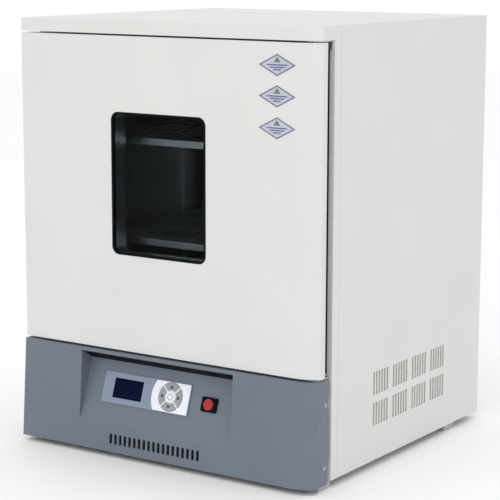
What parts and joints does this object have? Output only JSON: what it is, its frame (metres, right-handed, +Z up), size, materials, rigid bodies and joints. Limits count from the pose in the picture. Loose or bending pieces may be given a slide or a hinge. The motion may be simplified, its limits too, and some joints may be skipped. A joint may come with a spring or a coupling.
{
  "type": "laboratory incubator",
  "caption": "Benchtop laboratory incubator: white sheet-steel cabinet, windowed door hinged on the right, stainless chamber with shelves and a fan, and a grey control panel below.",
  "frame": {"origin": "centre of the bounding box at the level of the feet's soles", "axes": "+Z up, -Y towards the front of the door, +X to the right seen from the front"},
  "size_m": [0.58, 0.57, 0.72],
  "materials": {
    "aluminium": "satin aluminium",
    "black_plastic": "moulded black plastic",
    "circuit_board": "green board with black parts",
    "foot_grey": "moulded grey rubber foot",
    "glass": "clear float glass",
    "grey_plastic": "fine-grained moulded plastic, blue grey",
    "insulation": "mineral-wool board",
    "key_grey": "moulded key, satin",
    "key_white": "moulded key, satin",
    "label_violet": "plain diamond plates with a grey-green border",
    "lcd": "dark blue display window, gloss",
    "pad_white": "satin membrane",
    "plate_blue_grey": "printed membrane plate, satin",
    "red_plastic": "red moulded button, gloss",
    "screw_steel": "bright plated screws",
    "seal_rubber": "soft magnetic door seal, black",
    "stainless": "brushed stainless sheet",
    "white_paint": "fine-grained powder coat, warm white",
    "zinc_steel": "zinc plated sheet"
  },
  "bodies": {
    "cabinet": {"back_panel": "zinc_steel", "back_screws": "screw_steel", "base_pan": "zinc_steel", "breaker_frame": "black_plastic", "cabinet_shell": "white_paint", "chamber_insulation": "insulation", "chamber_liner": "stainless", "control_board": "circuit_board", "control_panel": "grey_plastic", "control_plate": "plate_blue_grey", "duct_cover": "stainless", "fan_guard": "stainless", "fan_motor": "aluminium", "foot_screws": "screw_steel", "front_frame": "white_paint", "front_left_foot": "foot_grey", "front_left_post": "stainless", "front_right_foot": "foot_grey", "front_right_post": "stainless", "fuse_holder": "black_plastic", "heater_element": "stainless", "heater_relay": "aluminium", "keypad_surround": "pad_white", "lcd_window": "lcd", "lower_hinge": "zinc_steel", "lower_shelf": "stainless", "mains_inlet": "black_plastic", "panel_brackets": "zinc_steel", "panel_screws": "screw_steel", "power_supply": "zinc_steel", "rear_left_foot": "foot_grey", "rear_left_post": "stainless", "rear_right_foot": "foot_grey", "rear_right_post": "stainless", "recess_trim": "black_plastic", "shelf_clips": "stainless", "support_deck": "zinc_steel", "switch_bezel": "black_plastic", "switch_body": "black_plastic", "temperature_probe": "stainless", "upper_hinge": "zinc_steel", "upper_shelf": "stainless"},
    "door": {"door_outer_skin": "white_paint", "door_inner_pan": "stainless", "door_insulation": "insulation", "window_tunnel": "stainless", "window_gasket": "black_plastic", "outer_glass": "glass", "inner_glass": "glass", "door_seal": "seal_rubber", "label_plates": "label_violet", "hinge_bushes": "screw_steel"},
    "fan": {"circulation_fan": "aluminium"},
    "power_button": {"power_button": "red_plastic"},
    "up_key": {"up_key": "key_grey"},
    "right_key": {"right_key": "key_grey"},
    "down_key": {"down_key": "key_grey"},
    "left_key": {"left_key": "key_grey"},
    "centre_key": {"centre_key": "key_white"}
  },
  "joints": [
    {"name": "door_hinge", "type": "hinge", "parent": "cabinet", "child": "door", "pos_m": [0.272, -0.251, 0.4385], "axis": [0, 0, 1], "range_deg": [0, 110]},
    {"name": "fan_spin", "type": "hinge", "parent": "cabinet", "child": "fan", "pos_m": [0, 0.165, 0.449], "axis": [0, 1, 0], "continuous": true},
    {"name": "up_key_press", "type": "slide", "parent": "cabinet", "child": "up_key", "axis": [0, 0.9447, -0.3278], "range_m": [0, 0.0006], "stiffness_N_per_m": 600, "springref_m": -0.0006},
    {"name": "right_key_press", "type": "slide", "parent": "cabinet", "child": "right_key", "axis": [0, 0.9447, -0.3278], "range_m": [0, 0.0006], "stiffness_N_per_m": 600, "springref_m": -0.0006},
    {"name": "down_key_press", "type": "slide", "parent": "cabinet", "child": "down_key", "axis": [0, 0.9447, -0.3278], "range_m": [0, 0.0006], "stiffness_N_per_m": 600, "springref_m": -0.0006},
    {"name": "left_key_press", "type": "slide", "parent": "cabinet", "child": "left_key", "axis": [0, 0.9447, -0.3278], "range_m": [0, 0.0006], "stiffness_N_per_m": 600, "springref_m": -0.0006},
    {"name": "centre_key_press", "type": "slide", "parent": "cabinet", "child": "centre_key", "axis": [0, 0.9447, -0.3278], "range_m": [0, 0.0006], "stiffness_N_per_m": 600, "springref_m": -0.0006},
    {"name": "power_button_press", "type": "slide", "parent": "cabinet", "child": "power_button", "axis": [0, 0.9447, -0.3278], "range_m": [0, 0.0025], "stiffness_N_per_m": 500, "springref_m": -0.002}
  ]
}
